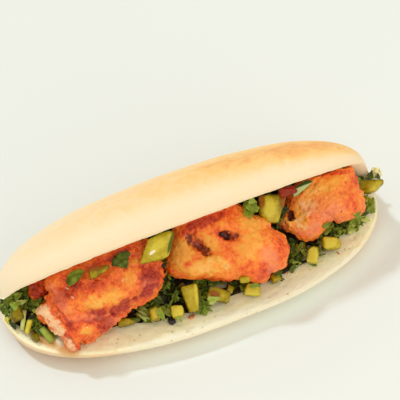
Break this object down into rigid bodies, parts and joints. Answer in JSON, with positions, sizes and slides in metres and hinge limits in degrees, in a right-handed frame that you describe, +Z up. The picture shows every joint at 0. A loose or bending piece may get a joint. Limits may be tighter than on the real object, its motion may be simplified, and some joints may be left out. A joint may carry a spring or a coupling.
{
  "type": "shish taouk sandwich",
  "caption": "Soft long bread roll slit along one side and held open by grilled chicken pieces on chopped parsley, with pickle, tomato and pepper bits in the mouth.",
  "frame": {"origin": "middle of the bounding box, on the table under the roll", "axes": "+X along the roll, towards its wider open end; -Y is the open side with the filling, +Y the hinge; +Z up from the table"},
  "size_m": [0.2008, 0.0816, 0.0638],
  "materials": {
    "bread": "matte pale soft crust and crumb",
    "chicken": "glossy orange-red grilled meat with dark char",
    "greens": "chopped parsley, dark to fresh green",
    "pickle": "glossy yellow-olive pickled cucumber",
    "tomato": "glossy dark red",
    "pepper": "glossy pale green"
  },
  "bodies": {
    "root": {"bread": "bread", "chicken_left": "chicken", "chicken_middle": "chicken", "chicken_right": "chicken", "chicken_scrap": "chicken", "parsley_leaf_a": "greens", "parsley_leaf_b": "greens", "parsley_leaf_c": "greens", "parsley_leaf_d": "greens", "pepper_strip": "pepper", "pickle_chunk": "pickle", "pickle_dice_a": "pickle", "pickle_dice_b": "pickle", "pickle_dice_c": "pickle", "pickle_dice_d": "pickle", "pickle_dice_e": "pickle", "pickle_dice_f": "pickle", "pickle_dice_g": "pickle", "pickle_dice_h": "pickle", "pickle_end": "pickle", "pickle_left_a": "pickle", "pickle_left_b": "pickle", "pickle_slice": "pickle", "pickle_spear": "pickle", "pickle_wedge": "pickle", "salad": "greens", "tomato_piece": "tomato"}
  },
  "joints": []
}
